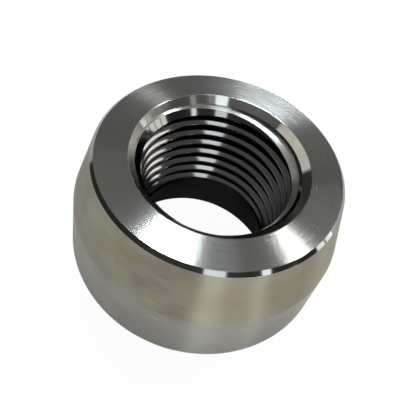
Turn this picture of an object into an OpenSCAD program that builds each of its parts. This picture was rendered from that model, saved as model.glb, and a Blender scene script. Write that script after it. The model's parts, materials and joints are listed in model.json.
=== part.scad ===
// Threaded branch outlet: one forged and turned steel boss. Its saddle is welded over
// a hole in a run pipe, and its upper end takes a threaded branch pipe.
// Sizes are in millimetres. The branch axis is Z, and the run pipe lies along Y.

/* [Overall] */
// Height on the branch axis, from the run pipe's surface to the branch face
height = 25.4; // [22:0.1:40]
// Largest outside diameter, where the weld bevel begins
body_d = 35; // [34.2:0.1:45]

/* [Outside wall] */
// Outside diameter of the flat branch face
face_d = 28.9; // [25:0.1:31.5]
// Radial width of the edge chamfer round the branch face
edge_w = 0.42; // [0.1:0.01:1]
// Height of the edge chamfer
edge_h = 0.42; // [0.1:0.01:2]
// Diameter of the line where the flared wall meets the steeper band
break_d = 33.9; // [31:0.1:34.8]
// Depth of that line below the branch face
break_drop = 7.7; // [3:0.1:13]
// Depth of the largest diameter below the branch face
body_drop = 15.7; // [10:0.1:20]
// Radius of the rounded edge at the largest diameter
body_round = 0.6; // [0.2:0.05:1.5]

/* [Weld end] */
// Outside diameter of the weld land, where the bevel meets the run pipe
toe_d = 28; // [26.5:0.1:33]
// Outside diameter of the run pipe that the saddle is cut for
run_d = 219.1; // [60.3:0.1:914]
// Diameter of the flow opening, measured at the run pipe's crown
flow_d = 25.2; // [20:0.1:26]

/* [Threaded bore] */
// Drilled diameter, before the bore is reamed to a taper and threaded
tap_d = 17.46; // [15:0.01:19]
// Diameter of the countersunk mouth
mouth_d = 21.5; // [20.5:0.1:24]
// Included angle of the countersunk mouth
mouth_angle = 90; // [60:1:120]
// Diameter at which the mouth turns into the steeper lead-in cone
lead_d = 19.8; // [19.2:0.1:20.3]
// Included angle of the lead-in cone
lead_angle = 61; // [40:1:88]
// Depth below the branch face at which the bore starts to flare
thread_drop = 15.3; // [8:0.1:21]

/* [Hidden] */
$fn = 128;
steel_grey = [0.62, 0.61, 0.58];

// How far the cuts run past the faces that they break through
cut_past = 2;
// Straight steps in the rounded edge's profile
round_steps = 6;

// Drop of the saddle from its crown to the lowest points of the weld land
saddle_drop = run_d / 2 - sqrt(pow(run_d / 2, 2) - pow(toe_d / 2, 2));
// Level of the branch face: the lowest points of the saddle are at zero
face_z = saddle_drop + height;
thread_end_z = face_z - thread_drop;
// Depths at which the mouth ends, and at which the lead-in cone below it ends
mouth_drop = (mouth_d - lead_d) / 2 / tan(mouth_angle / 2);
lead_drop = mouth_drop + (lead_d - tap_d) / 2 / tan(lead_angle / 2);

function unit(v) = v / norm(v);

// Points of an arc that rounds the corner at p, between its neighbours before and after
function round_corner(before, p, after, radius) =
    let (
        u = unit(before - p),
        v = unit(after - p),
        half = acos(u * v) / 2,
        centre = p + unit(u + v) * radius / sin(half),
        from = p + u * radius / tan(half) - centre,
        to = p + v * radius / tan(half) - centre,
        start = atan2(from.y, from.x),
        turn = (atan2(to.y, to.x) - start + 540) % 360 - 180
    )
    [for (i = [0:round_steps])
        centre + radius * [cos(start + turn * i / round_steps), sin(start + turn * i / round_steps)]];

// Half section of the turned outside, from the weld land up to the branch face
module outside_profile() {
    toe = [toe_d / 2, 0];
    widest = [body_d / 2, face_z - body_drop];
    wall_break = [break_d / 2, face_z - break_drop];
    polygon(concat(
        [[0, 0], toe],
        round_corner(toe, widest, wall_break, body_round),
        [
            wall_break,
            [face_d / 2 + edge_w, face_z - edge_h],
            [face_d / 2, face_z],
            [0, face_z]
        ]));
}

// A cone frustum between two levels, lengthened at the same slope past its wider end
module flare(narrow_d, narrow_z, wide_d, wide_z, past) {
    rise = wide_z - narrow_z;
    grow = (wide_d - narrow_d) * past / abs(rise);
    turn_over = rise < 0 ? 180 : 0;
    translate([0, 0, narrow_z])
        rotate([turn_over, 0, 0])
            cylinder(d1 = narrow_d, d2 = wide_d + grow, h = abs(rise) + past);
}

// Everything that is bored out: the tapping hole, its mouth in two cones and the flow flare.
// The lead-in cone runs on for a little inside the wider mouth.
module bore_cut() {
    translate([0, 0, thread_end_z - cut_past])
        cylinder(d = tap_d, h = thread_drop + 2 * cut_past);
    flare(lead_d, face_z - mouth_drop, mouth_d, face_z, cut_past);
    flare(tap_d, face_z - lead_drop, lead_d, face_z - mouth_drop, mouth_drop / 2);
    flare(tap_d, thread_end_z, flow_d, saddle_drop, saddle_drop + cut_past);
}

// The run pipe, whose surface cuts the saddle
module run_pipe_cut() {
    translate([0, 0, saddle_drop - run_d / 2])
        rotate([90, 0, 0])
            cylinder(d = run_d, h = body_d + 2 * cut_past, center = true, $fn = 256);
}

module outlet_body() {
    color(steel_grey)
        difference() {
            rotate_extrude()
                outside_profile();
            bore_cut();
            run_pipe_cut();
        }
}

outlet_body();
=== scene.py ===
import json
import math

import bmesh
import bpy
from mathutils import Matrix, Vector


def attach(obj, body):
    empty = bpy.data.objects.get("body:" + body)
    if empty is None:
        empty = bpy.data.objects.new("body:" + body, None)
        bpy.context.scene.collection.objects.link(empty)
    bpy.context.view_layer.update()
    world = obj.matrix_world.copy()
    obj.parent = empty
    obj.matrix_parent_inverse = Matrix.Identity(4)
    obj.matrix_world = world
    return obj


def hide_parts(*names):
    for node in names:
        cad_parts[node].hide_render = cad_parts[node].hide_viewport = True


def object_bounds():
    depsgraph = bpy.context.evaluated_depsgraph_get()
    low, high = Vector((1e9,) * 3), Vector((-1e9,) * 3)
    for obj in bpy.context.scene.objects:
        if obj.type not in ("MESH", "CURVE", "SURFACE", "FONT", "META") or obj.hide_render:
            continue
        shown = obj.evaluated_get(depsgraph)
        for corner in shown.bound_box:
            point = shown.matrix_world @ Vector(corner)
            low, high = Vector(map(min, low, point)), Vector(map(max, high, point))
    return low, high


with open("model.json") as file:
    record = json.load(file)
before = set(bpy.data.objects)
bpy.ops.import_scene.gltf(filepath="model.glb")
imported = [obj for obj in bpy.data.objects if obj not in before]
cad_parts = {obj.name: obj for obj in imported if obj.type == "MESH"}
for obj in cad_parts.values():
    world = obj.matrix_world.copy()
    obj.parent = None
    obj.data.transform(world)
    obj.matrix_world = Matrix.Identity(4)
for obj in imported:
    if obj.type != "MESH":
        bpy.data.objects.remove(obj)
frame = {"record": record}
cad_low, cad_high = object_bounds()

# The scene is in metres
MM = 0.001
MICROMETRE = 0.000001
UP = Vector((0, 0, 1))

# Driving sizes of the fitting, in millimetres. Depths are measured down from the branch face.
FACE_R = 14.45
EDGE_W = 0.42
EDGE_H = 0.42
BREAK_R = 16.95
BREAK_DROP = 7.7
BODY_R = 17.5
BODY_DROP = 15.7
BODY_ROUND = 0.6
TOE_R = 14.0
RUN_R = 109.55
FLOW_R = 12.6
MOUTH_R = 10.75
EDGE_ROUND = 0.05
MOUTH_ROUND = 0.2
# Where the countersink's 45 degree mouth turns into a steeper cone, and that cone's narrowing per depth
SEAT_R = 9.9
SEAT_DROP = 0.85
SEAT_SLOPE = math.tan(math.radians(36))

# The half-inch taper pipe thread: 14 turns to the inch, with 60 degree flanks. Its bore narrows downwards,
# and TAPER is the loss of radius per depth.
PITCH = 25.4 / 14
TAPER = 1 / 46
FLANK_TAN = math.tan(math.radians(30))
THREAD_DEPTH = 1.32
# The groove is shallower in the mouth, and deepens over some turns after it
MOUTH_DEPTH = 1.02
DEEPENING_TURNS = 0.3
# The flat at the groove's root, and the rounding of the crests beside it
ROOT_FLAT = 0.1
CREST_ROUND = 0.09
CREST_STEPS = 5
# How far the flanks bulge between crest and root
FLANK_BULGE = 0.032
FLANK_STEPS = 6
# Depth of the groove's middle below the face, on the +X side, and how many turns it makes from there
THREAD_START = 1.42
THREAD_TURNS = 7.2
# Turns that the cut makes before that, on its way in
LEAD_IN_TURNS = 1.0
# The turn at which the groove's first, rougher pass through the mouth ends
MOUTH_PASS_END = 0.35
# Turns over which the groove runs out at its lower end, and the share of its depth that is left there
RUN_OUT_TURNS = 0.4
RUN_OUT_SHARE = 0.03

# Depth at which the threaded bore ends
THREAD_DROP = 15.3
# The drilled bore's radius and the height of the branch face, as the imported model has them
thread_mount = next(m for m in frame["record"]["mounts"] if m["name"] == "branch_thread")
TAP_R = thread_mount["dims"]["r_mm"]
FACE_Z = cad_high.z / MM
# Height of the saddle's crown, where the saddle's lowest points are at 0
SADDLE_CROWN_Z = RUN_R - math.sqrt(RUN_R ** 2 - TOE_R ** 2)

# Columns round the axis, for the body and for one turn of the thread
COLUMNS = 288
THREAD_COLUMNS = 240
# Steps in a small rounding and in a wide one
ROUND_STEPS = 5
WIDE_ROUND_STEPS = 8
# Distance from a rounding at which the run beside it is held flat, in millimetres
SUPPORT = 0.05
# Passes that bring a slanting line to the saddle's surface
SADDLE_PASSES = 12
# Points of the cut mesh that lie closer than this are joined, in millimetres
WELD_DISTANCE = 0.0001
# Edges that turn by more than this, in degrees, are shaded sharp
SHARP_ANGLE = 20

# Materials of the half section's runs, in order, and of the thread's groove
FACE, EDGE, WALL, BAND, WELD_END, FLARE, BORE, SEAT, MOUTH, THREAD, MOUTH_PASS = range(11)

# The range that most values of a noise texture lie in
NOISE_LOW, NOISE_HIGH = 0.3, 0.7
# Stains on the steel: their size in millimetres, and how much clouds and streaks add to them
STAIN_SIZE = 4.5
CLOUD_STAIN = 0.7
STREAK_STAIN = 0.3
# Streaks are this many times broader, and longer, than the turning marks
STREAK_BREADTH = 5
STREAK_LENGTH = 3
# How far the grain and the clouds vary the steel's roughness, up and down
GRAIN_GLOSS = 0.12
CLOUD_GLOSS = 0.08
# A quarter turn of the brushed gloss, so that highlights spread across the turning marks
ACROSS_MARKS = 0.25
# Depth at which the band's painted shade starts, in millimetres: below it the band darkens as if it
# reflected the floor's shadow near the base
PAINTED_SHADE_START = BREAK_DROP + 2

# The floor: half its side in metres, its two shades, the sizes of its clouds and its speckle in millimetres,
# the depth of its grain in micrometres, and the range of its roughness
FLOOR_HALF = 3.0
FLOOR_PALE = (0.94, 0.94, 0.94, 1)
FLOOR_DIM = (0.92, 0.92, 0.915, 1)
FLOOR_CLOUDS = 40.0
FLOOR_SPECKLE = 1.5
FLOOR_GRAIN_UM = 20
FLOOR_ROUGHNESS = (0.75, 0.85)
# Share of the floor's look that is plain white, and the rest shows shadow
FLOOR_WHITE = 0.96

# The room's colours
ROOM_WALL = (0.065, 0.065, 0.063)
CEILING = (0.23, 0.23, 0.223)
# The heights, as sines of the elevation, between which its walls turn into its ceiling
WALL_TOP = 0.35
CEILING_START = 0.9

# Lamps: how far their ends are from the middle of the branch face, in metres, and the tints of their light
LAMP_DISTANCE = 0.45
COOL = (0.87, 0.955, 1)
WHITE = (1, 1, 1)
DAYLIGHT = (1, 0.99, 0.95)
WARM_SIDE = (1, 0.97, 0.85)
WARM_LEFT = (1, 0.96, 0.88)
# The panes at the window's foot: how many there are, and their angles in degrees
PANES = 4
FIRST_PANE = -29
PANE_STEP = 8
PANE_BREADTH = 6.8
PANE_ELEVATION = 9.5
PANE_HEIGHT = 23
# The row of low panels, in degrees: the azimuths between which each one runs, and then its radiance
LOW_ROW = [(-110.3, -97, 6.5), (-97, -75.5, 5.2), (-75.5, -68.3, 9.5), (-68.3, -46, 2.2)]
LOW_ROW_ELEVATION = 7
LOW_ROW_HEIGHT = 10

# Camera: the photograph's view, from a short distance. Angles are in degrees and lengths in millimetres.
CAMERA_AZIMUTH = 60.0
CAMERA_ELEVATION = 52.95
CAMERA_ROLL = 15.74
CAMERA_DISTANCE = 58.75
SENSOR_WIDTH = 36.0
NEAR_CLIP = 1.0
# The focal length and the width of the image, in pixels of the photograph
FOCAL_PX = 450.0
IMAGE_PX = 400.0
# The point that the camera looks at: how far it lies below the face, and to the left of the axis
AIM_DROP = 8.82
AIM_LEFT = 1.148


def bore_r(depth):
    """Radius of the taper bore, at the thread's crests, at a depth below the face."""
    return TAP_R + (THREAD_DROP - depth) * TAPER


def saddle_z(x):
    """Height of the run pipe's surface under a point x millimetres from its axis plane."""
    return SADDLE_CROWN_Z - (RUN_R - math.sqrt(RUN_R ** 2 - x ** 2))


def meet_saddle(top, foot, angle):
    """Where the line from top through foot, in the half plane at this angle, meets the saddle."""
    point = Vector(foot)
    direction = (Vector(foot) - Vector(top)).normalized()
    for _ in range(SADDLE_PASSES):
        gap = point.y - saddle_z(point.x * math.cos(angle))
        point = point + direction * (gap / -direction.y)
    return point


def rounded(before, corner, after, radius, steps):
    """Points of an arc that rounds a corner of a section."""
    u = (before - corner).normalized()
    v = (after - corner).normalized()
    half = u.angle(v) / 2
    centre = corner + (u + v).normalized() * radius / math.sin(half)
    first = corner + u * radius / math.tan(half) - centre
    last = corner + v * radius / math.tan(half) - centre
    sweep = first.angle_signed(last)
    return [centre + Matrix.Rotation(-sweep * i / steps, 2) @ first for i in range(steps + 1)]


def section_corners(angle):
    """Corners of the half section at one angle.

    Each is its place, the radius and the material of its rounding, and the material of the run after it."""
    wide = Vector((BODY_R, FACE_Z - BODY_DROP))
    thread_end = Vector((TAP_R, FACE_Z - THREAD_DROP))
    toe = meet_saddle(wide, (TOE_R, 0), angle)
    flow = meet_saddle(thread_end, (FLOW_R, SADDLE_CROWN_Z), angle)
    mouth_drop = SEAT_DROP + (SEAT_R - bore_r(SEAT_DROP)) / (SEAT_SLOPE - TAPER)
    return [
        (Vector((MOUTH_R, FACE_Z)), MOUTH_ROUND, FACE, FACE),
        (Vector((FACE_R, FACE_Z)), EDGE_ROUND, EDGE, EDGE),
        (Vector((FACE_R + EDGE_W, FACE_Z - EDGE_H)), EDGE_ROUND, EDGE, WALL),
        (Vector((BREAK_R, FACE_Z - BREAK_DROP)), EDGE_ROUND, BAND, BAND),
        (wide, BODY_ROUND, BAND, WELD_END),
        (toe, EDGE_ROUND, WELD_END, WELD_END),
        (flow, EDGE_ROUND, FLARE, FLARE),
        (thread_end, EDGE_ROUND, BORE, BORE),
        (Vector((bore_r(mouth_drop), FACE_Z - mouth_drop)), EDGE_ROUND, SEAT, SEAT),
        (Vector((SEAT_R, FACE_Z - SEAT_DROP)), EDGE_ROUND, MOUTH, MOUTH),
    ]


def half_section(angle):
    """The closed half section at one angle: its points, and the material of each point's next stretch."""
    corners = section_corners(angle)
    points = []
    for i, (corner, radius, round_material, material) in enumerate(corners):
        before, *_, material_before = corners[i - 1]
        after = corners[(i + 1) % len(corners)][0]
        steps = ROUND_STEPS if radius == EDGE_ROUND else WIDE_ROUND_STEPS
        arc = rounded(before, corner, after, radius, steps)
        points.append((arc[0] + (before - corner).normalized() * SUPPORT, material_before))
        points += [(p, round_material) for p in arc[:-1]]
        points.append((arc[-1], material))
        points.append((arc[-1] + (after - corner).normalized() * SUPPORT, material))
    return points


def add_ring(shape, section, angle):
    """Adds a section's points, each a radius and a height in millimetres, to a mesh at one angle."""
    return [shape.verts.new((r * math.cos(angle) * MM, r * math.sin(angle) * MM, z * MM))
            for r, z in section]


def new_object(name, shape):
    """Turns a shape's faces outwards, and puts it in the scene as an object."""
    bmesh.ops.recalc_face_normals(shape, faces=shape.faces)
    mesh = bpy.data.meshes.new(name)
    shape.to_mesh(mesh)
    shape.free()
    made = bpy.data.objects.new(name, mesh)
    bpy.context.scene.collection.objects.link(made)
    return made


def turned_body():
    """The turned body with its plain taper bore, as one closed mesh."""
    shape = bmesh.new()
    columns = []
    for c in range(COLUMNS):
        angle = math.tau * c / COLUMNS
        section = half_section(angle)
        columns.append(add_ring(shape, [point for point, _ in section], angle))
    stretches = [material for _, material in section]
    for c in range(COLUMNS):
        here, there = columns[c], columns[(c + 1) % COLUMNS]
        for i, material in enumerate(stretches):
            j = (i + 1) % len(stretches)
            face = shape.faces.new((here[i], here[j], there[j], there[i]))
            face.material_index = material
    return new_object("outlet", shape)


def groove_depth(turn):
    """Depth of the thread groove at a turn, from the mouth's shallow pass to the run-out."""
    deepening = min(1.0, max(0.0, (turn - MOUTH_PASS_END) / DEEPENING_TURNS))
    run_out = min(1.0, max(RUN_OUT_SHARE, (THREAD_TURNS - turn) / RUN_OUT_TURNS))
    return (MOUTH_DEPTH + (THREAD_DEPTH - MOUTH_DEPTH) * deepening) * run_out


def groove_section(crest_r, depth):
    """Half widths of the thread groove against radius, where it has this depth."""
    share = depth / THREAD_DEPTH
    crest = Vector((crest_r, depth * FLANK_TAN + ROOT_FLAT / 2))
    root = Vector((crest_r + depth, ROOT_FLAT / 2))
    above = crest + Vector((0, 1))
    arc = rounded(above, crest, root, CREST_ROUND * share, CREST_STEPS)
    inner = Vector((crest_r - THREAD_DEPTH / 2, arc[0].y))
    # The flank bows as a parabola, whose part * (1 - part) reaches a quarter in the middle
    flank = root - arc[-1]
    bulge = Vector((flank.y, -flank.x)).normalized() * 4 * FLANK_BULGE * share
    bowed = []
    for step in range(1, FLANK_STEPS):
        part = step / FLANK_STEPS
        bowed.append(arc[-1] + flank * part + bulge * part * (1 - part))
    return [inner, *arc, *bowed, root]


def thread_groove():
    """The helical cut of the thread, as a closed sweep from above the mouth down to its run-out."""
    shape = bmesh.new()
    steps = round((THREAD_TURNS + LEAD_IN_TURNS) * THREAD_COLUMNS)
    mouth_steps = round((MOUTH_PASS_END + LEAD_IN_TURNS) * THREAD_COLUMNS)
    rings = []
    for s in range(steps + 1):
        turn = s / THREAD_COLUMNS - LEAD_IN_TURNS
        depth = THREAD_START + PITCH * turn
        middle = FACE_Z - depth
        half = groove_section(bore_r(depth), groove_depth(turn))
        section = [(r, middle + h) for r, h in half] + [(r, middle - h) for r, h in reversed(half)]
        rings.append(add_ring(shape, section, -math.tau * turn))
    for s, (one, two) in enumerate(zip(rings, rings[1:])):
        for i in range(len(one)):
            j = (i + 1) % len(one)
            face = shape.faces.new((one[i], one[j], two[j], two[i]))
            face.material_index = MOUTH_PASS if s < mouth_steps else THREAD
    shape.faces.new(rings[0]).material_index = MOUTH_PASS
    shape.faces.new(list(reversed(rings[-1]))).material_index = THREAD
    return new_object("thread_groove", shape)


def weld(mesh):
    """Joins a mesh's close points, and drops the faces that have no area."""
    shape = bmesh.new()
    shape.from_mesh(mesh)
    bmesh.ops.remove_doubles(shape, verts=shape.verts, dist=WELD_DISTANCE * MM)
    bmesh.ops.dissolve_degenerate(shape, edges=shape.edges, dist=WELD_DISTANCE * MM)
    shape.to_mesh(mesh)
    shape.free()


def cut(body, tool):
    """Cuts tool out of body, and leaves the result in body's mesh."""
    modifier = body.modifiers.new("cut", "BOOLEAN")
    modifier.operation = "DIFFERENCE"
    modifier.solver = "MANIFOLD"
    modifier.object = tool
    bpy.context.view_layer.update()
    graph = bpy.context.evaluated_depsgraph_get()
    result = bpy.data.meshes.new_from_object(body.evaluated_get(graph))
    body.modifiers.clear()
    weld(result)
    body.data = result
    bpy.data.objects.remove(tool)


def add_node(tree, kind, inputs=(), **settings):
    """Adds a shader node. Inputs fill its sockets in order: a socket is linked, any other value is set."""
    node = tree.nodes.new(kind)
    for name, value in settings.items():
        setattr(node, name, value)
    for socket, value in zip(node.inputs, inputs):
        if isinstance(value, bpy.types.NodeSocket):
            tree.links.new(value, socket)
        else:
            socket.default_value = value
    return node


def arithmetic(tree, operation, *inputs):
    """The output of a Math node."""
    return add_node(tree, "ShaderNodeMath", inputs, operation=operation).outputs[0]


def vectors(tree, operation, *inputs):
    """The vector output of a Vector Math node."""
    return add_node(tree, "ShaderNodeVectorMath", inputs, operation=operation).outputs["Vector"]


def mixed(tree, share, one, other):
    """A colour between one and other."""
    return add_node(tree, "ShaderNodeMixRGB", [share, one, other]).outputs[0]


def object_place(tree):
    """The point's place in the fitting's own frame, in metres."""
    return add_node(tree, "ShaderNodeTexCoord").outputs["Object"]


def height_of(tree, place):
    """The Z of a place."""
    return add_node(tree, "ShaderNodeSeparateXYZ", [place]).outputs["Z"]


def noise_at(tree, place, scale, detail):
    """The value of a noise texture at a place."""
    noise = add_node(tree, "ShaderNodeTexNoise", noise_dimensions="3D")
    tree.links.new(place, noise.inputs["Vector"])
    noise.inputs["Scale"].default_value = scale
    noise.inputs["Detail"].default_value = detail
    return noise.outputs["Fac"]


def turned_noise(tree, marks_per_mm, stretch):
    """Noise drawn out round the axis, as a cutting tool leaves it: fine across its lay, long along it."""
    place = object_place(tree)
    flat = vectors(tree, "MULTIPLY", place, (1, 1, 0))
    radius = add_node(tree, "ShaderNodeVectorMath", [flat], operation="LENGTH").outputs["Value"]
    around = vectors(tree, "NORMALIZE", flat)
    run = arithmetic(tree, "ADD", radius, height_of(tree, place))
    across = arithmetic(tree, "MULTIPLY", run, marks_per_mm / MM)
    layer = add_node(tree, "ShaderNodeCombineXYZ", [0, 0, across]).outputs[0]
    drawn = vectors(tree, "MULTIPLY_ADD", around, (stretch, stretch, 0), layer)
    return noise_at(tree, drawn, scale=1, detail=2)


def cloudy_noise(tree, size_mm):
    """Soft noise with features of about a size."""
    return noise_at(tree, object_place(tree), scale=1 / (size_mm * MM), detail=3)


def span(tree, value, low, high):
    """Maps a noise's usual range onto low to high."""
    return add_node(tree, "ShaderNodeMapRange", [value, NOISE_LOW, NOISE_HIGH, low, high]).outputs[0]


def about_one(tree, value, spread):
    """A noise as a factor that varies by a spread about 1."""
    return span(tree, value, 1 - spread, 1 + spread)


def height_fade(tree, top, bottom):
    """A factor that grows from 0 at one depth below the face to 1 at another, in millimetres."""
    height = height_of(tree, object_place(tree))
    limits = [height, (FACE_Z - top) * MM, (FACE_Z - bottom) * MM, 0, 1]
    return add_node(tree, "ShaderNodeMapRange", limits).outputs[0]


def new_material(name):
    """A new material, with its node tree and its shader."""
    material = bpy.data.materials.new(name)
    material.use_nodes = True
    return material, material.node_tree, material.node_tree.nodes["Principled BSDF"]


def add_bump(tree, shader, relief, depth_um):
    """Bumps a shader's surface by a noise, some micrometres deep."""
    bump = add_node(tree, "ShaderNodeBump")
    bump.inputs["Strength"].default_value = 1
    bump.inputs["Distance"].default_value = depth_um * MICROMETRE
    tree.links.new(relief, bump.inputs["Height"])
    tree.links.new(bump.outputs[0], shader.inputs["Normal"])


def steel(name, colour, stain, roughness, anisotropic, grain_um, marks_per_mm=6.0, stretch=7.0, rim=1.0,
          painted_shade_to=None):
    """Turned steel: a colour clouded with a stain, uneven gloss, and turning marks some micrometres deep.

    Rim scales how strongly the surface reflects at a grazing angle. The darker colour given last is
    painted shade that the band takes on towards its lower edge, standing in for the floor's shadow that it
    would reflect there."""
    material, tree, shader = new_material(name)
    grain = turned_noise(tree, marks_per_mm, stretch)
    streaks = turned_noise(tree, marks_per_mm / STREAK_BREADTH, stretch / STREAK_LENGTH)
    clouds = cloudy_noise(tree, STAIN_SIZE)
    clouded = span(tree, clouds, 0, CLOUD_STAIN)
    streaked = span(tree, streaks, 0, STREAK_STAIN)
    stained = arithmetic(tree, "ADD", clouded, streaked)
    shade = mixed(tree, stained, (*colour, 1), (*stain, 1))
    # Painted shade: the band darkens towards its lower edge, in place of the shadowed floor that it would
    # reflect
    if painted_shade_to:
        shade = mixed(tree, height_fade(tree, PAINTED_SHADE_START, BODY_DROP), shade, (*painted_shade_to, 1))
    tree.links.new(shade, shader.inputs["Base Color"])
    grain_gloss = about_one(tree, grain, GRAIN_GLOSS)
    cloud_gloss = about_one(tree, clouds, CLOUD_GLOSS)
    gloss = arithmetic(tree, "MULTIPLY", grain_gloss, cloud_gloss)
    tree.links.new(arithmetic(tree, "MULTIPLY", gloss, roughness), shader.inputs["Roughness"])
    add_bump(tree, shader, grain, grain_um)
    shader.inputs["Metallic"].default_value = 1
    shader.inputs["Specular Tint"].default_value = (rim, rim, rim, 1)
    shader.inputs["Anisotropic"].default_value = anisotropic
    shader.inputs["Anisotropic Rotation"].default_value = ACROSS_MARKS
    tangent = add_node(tree, "ShaderNodeTangent", direction_type="RADIAL", axis="Z")
    tree.links.new(tangent.outputs[0], shader.inputs["Tangent"])
    return material


def steel_finishes():
    """The finish of each turned surface, in the order of the material numbers. The band, flare and bore
    carry painted shade too.
    """
    return [
        steel("face", (0.46, 0.46, 0.445), (0.43, 0.43, 0.415), roughness=0.245, anisotropic=1.0,
              grain_um=0.35, marks_per_mm=8.0, stretch=4.0),
        steel("edge", (0.27, 0.27, 0.26), (0.25, 0.25, 0.24), roughness=0.08, anisotropic=0.0,
              grain_um=0.3),
        steel("wall", (0.31, 0.304, 0.236), (0.27, 0.225, 0.184), roughness=0.31, anisotropic=1.0,
              grain_um=0.4, rim=0.65),
        # The band's last colour is painted shade towards its lower edge
        steel("band", (0.326, 0.316, 0.272), (0.295, 0.281, 0.242), roughness=0.31, anisotropic=1.0,
              grain_um=0.4, rim=0.7, painted_shade_to=(0.232, 0.229, 0.209)),
        steel("weld_end", (0.33, 0.32, 0.295), (0.29, 0.28, 0.26), roughness=0.35, anisotropic=0.6,
              grain_um=1.5),
        # Painted shade: the flare's near-black colour and weak rim stand in for the shadowed floor under the
        # fitting that it reflects
        steel("flare", (0.04, 0.038, 0.037), (0.027, 0.026, 0.025), roughness=0.5, anisotropic=0.5,
              grain_um=2.0, rim=0.1),
        # Painted shade: the near-black colour and weak rim of the bore's crest flats stand in for the shade
        # deep in the bore between the thread's turns
        steel("bore", (0.018, 0.017, 0.017), (0.012, 0.012, 0.011), roughness=0.4, anisotropic=0.5,
              grain_um=2.0, rim=0.1),
        steel("seat", (0.21, 0.21, 0.2), (0.185, 0.185, 0.175), roughness=0.09, anisotropic=0.0,
              grain_um=0.3),
        steel("mouth", (0.35, 0.35, 0.333), (0.31, 0.31, 0.295), roughness=0.15, anisotropic=1.0,
              grain_um=0.15),
        steel("thread", (0.235, 0.225, 0.225), (0.18, 0.173, 0.173), roughness=0.1, anisotropic=0.0,
              grain_um=0.35, marks_per_mm=5.0),
        steel("mouth_pass", (0.5, 0.5, 0.48), (0.44, 0.44, 0.42), roughness=0.3, anisotropic=1.0,
              grain_um=1.0),
    ]


def floor_paint():
    """Pale floor paint that is seen as white, in reflections too, and still takes the fitting's shadow."""
    material, tree, paint = new_material("floor")
    speckle = cloudy_noise(tree, FLOOR_SPECKLE)
    shade = mixed(tree, cloudy_noise(tree, FLOOR_CLOUDS), FLOOR_PALE, FLOOR_DIM)
    tree.links.new(shade, paint.inputs["Base Color"])
    tree.links.new(span(tree, speckle, *FLOOR_ROUGHNESS), paint.inputs["Roughness"])
    add_bump(tree, paint, speckle, FLOOR_GRAIN_UM)
    paint.inputs["Specular IOR Level"].default_value = 0.0
    rays = add_node(tree, "ShaderNodeLightPath")
    seen = arithmetic(tree, "MAXIMUM", rays.outputs["Is Camera Ray"], rays.outputs["Is Glossy Ray"])
    seen = arithmetic(tree, "MAXIMUM", seen, rays.outputs["Is Transmission Ray"])
    share = arithmetic(tree, "MULTIPLY", seen, FLOOR_WHITE)
    glow = add_node(tree, "ShaderNodeEmission")
    mix = add_node(tree, "ShaderNodeMixShader", [share, paint.outputs[0], glow.outputs[0]])
    tree.links.new(mix.outputs[0], tree.nodes["Material Output"].inputs["Surface"])
    return material


def add_floor():
    """The pale floor that the fitting stands on."""
    signs = [(-1, -1), (1, -1), (1, 1), (-1, 1)]
    corners = [(x * FLOOR_HALF, y * FLOOR_HALF, 0) for x, y in signs]
    mesh = bpy.data.meshes.new("floor")
    mesh.from_pydata(corners, [], [(0, 1, 2, 3)])
    mesh.materials.append(floor_paint())
    made = bpy.data.objects.new("floor", mesh)
    bpy.context.scene.collection.objects.link(made)
    return made


def add_room():
    """The room round the fitting: dim walls, and a paler ceiling."""
    world = bpy.data.worlds.new("studio")
    bpy.context.scene.world = world
    world.use_nodes = True
    tree = world.node_tree
    height = height_of(tree, add_node(tree, "ShaderNodeTexCoord").outputs["Generated"])
    fade = add_node(tree, "ShaderNodeMapRange", [height, WALL_TOP, CEILING_START, 0, 1]).outputs[0]
    shade = mixed(tree, fade, (*ROOM_WALL, 1), (*CEILING, 1))
    tree.links.new(shade, tree.nodes["Background"].inputs["Color"])


def heading(azimuth, elevation):
    """Unit vector at an azimuth counted from +X towards +Y, and an elevation, both in degrees."""
    a, e = math.radians(azimuth), math.radians(elevation)
    return Vector((math.cos(a) * math.cos(e), math.sin(a) * math.cos(e), math.sin(e)))


def add_lamp(name, one_end, other_end, breadth, radiance, tint=WHITE):
    """A soft area lamp that faces the middle of the branch face, between two headings seen from there.

    Each heading is an azimuth and an elevation. Breadth, too, is in degrees as seen from there."""
    one = heading(*one_end) * LAMP_DISTANCE
    other = heading(*other_end) * LAMP_DISTANCE
    place = (one + other) / 2
    away = place.normalized()
    along = (other - one).normalized()
    across = along.cross(away)
    length = (other - one).length
    width = 2 * place.length * math.tan(math.radians(breadth / 2))
    data = bpy.data.lights.new(name, "AREA")
    data.shape = "RECTANGLE"
    data.size = width
    data.size_y = length
    data.energy = radiance * math.pi * length * width
    data.color = tint
    lamp = bpy.data.objects.new(name, data)
    turn = Matrix((across, along, away)).transposed().to_4x4()
    lamp.matrix_world = Matrix.Translation(place + UP * FACE_Z * MM) @ turn
    lamp.visible_camera = False
    bpy.context.scene.collection.objects.link(lamp)


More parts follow.
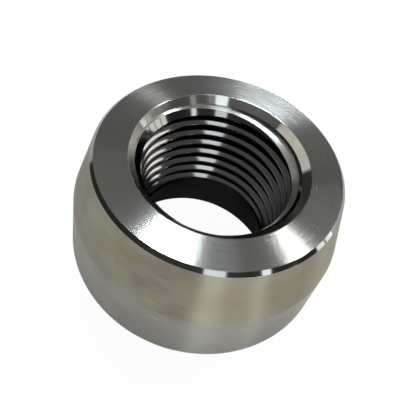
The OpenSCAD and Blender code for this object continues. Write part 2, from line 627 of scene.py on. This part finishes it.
def add_lamps():
    """The lamps of the studio, all soft panels and strips."""
    # A panel overhead, and a strip beside the camera in three parts
    add_lamp("overhead_panel", (55, 83.6), (93, 68.7), breadth=6.2, radiance=61.0, tint=COOL)
    add_lamp("camera_strip", (-102, 33), (-94, 57.5), breadth=11.2, radiance=2.7, tint=COOL)
    add_lamp("camera_strip_top", (-89.5, 58), (-56, 77), breadth=15.5, radiance=2.7, tint=COOL)
    add_lamp("camera_strip_foot", (-103.2, 13), (-102.4, 32), breadth=14.3, radiance=2.6, tint=COOL)
    # A window on the right: its top, its middle and the panes at its foot
    add_lamp("window_top", (-6, 52.5), (14, 58), breadth=6.0, radiance=31.5, tint=DAYLIGHT)
    add_lamp("window_middle", (-16, 43), (18, 27.5), breadth=3.3, radiance=4.4, tint=DAYLIGHT)
    for pane in range(PANES):
        start = FIRST_PANE + PANE_STEP * pane
        add_lamp(f"window_foot_{pane}", (start, PANE_ELEVATION), (start + PANE_BREADTH, PANE_ELEVATION),
                 breadth=PANE_HEIGHT, radiance=2.8, tint=DAYLIGHT)
    # A narrow strip to the right of the camera, and a row of low panels round the near side
    add_lamp("side_strip", (-68, 13), (-63, 37), breadth=6, radiance=3.0)
    for start, end, radiance in LOW_ROW:
        add_lamp(f"low_row_{-start:.0f}", (start, LOW_ROW_ELEVATION), (end, LOW_ROW_ELEVATION),
                 breadth=LOW_ROW_HEIGHT, radiance=radiance)
    # Dim warm light from a panel on the left, and from the wall beyond the window
    add_lamp("left_panel", (121, 18), (177, 42), breadth=14, radiance=1.6, tint=WARM_LEFT)
    add_lamp("window_side", (3, 8), (42, 8), breadth=16, radiance=1.1, tint=WARM_SIDE)


def add_camera():
    """The camera, at the photograph's viewing angle."""
    data = bpy.data.cameras.new("camera")
    data.sensor_width = SENSOR_WIDTH
    data.lens = SENSOR_WIDTH * FOCAL_PX / IMAGE_PX
    data.clip_start = NEAR_CLIP * MM
    look = heading(CAMERA_AZIMUTH, -CAMERA_ELEVATION)
    right = look.cross(UP).normalized()
    aim = Vector((0, 0, (FACE_Z - AIM_DROP) * MM)) - right * AIM_LEFT * MM
    roll = Matrix.Rotation(math.radians(CAMERA_ROLL), 3, "Z").to_quaternion()
    camera = bpy.data.objects.new("camera", data)
    camera.rotation_mode = "QUATERNION"
    camera.rotation_quaternion = look.to_track_quat("-Z", "Y") @ roll
    camera.location = aim - look * CAMERA_DISTANCE * MM
    bpy.context.scene.collection.objects.link(camera)
    bpy.context.scene.camera = camera


body = turned_body()
groove = thread_groove()
for material in steel_finishes():
    body.data.materials.append(material)
    groove.data.materials.append(material)
cut(body, groove)
body.data.shade_smooth()
body.data.set_sharp_from_angle(angle=math.radians(SHARP_ANGLE))
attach(body, "root")
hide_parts("outlet_body")

floor = add_floor()
add_room()
add_lamps()
add_camera()
bpy.context.scene.view_settings.view_transform = "Standard"
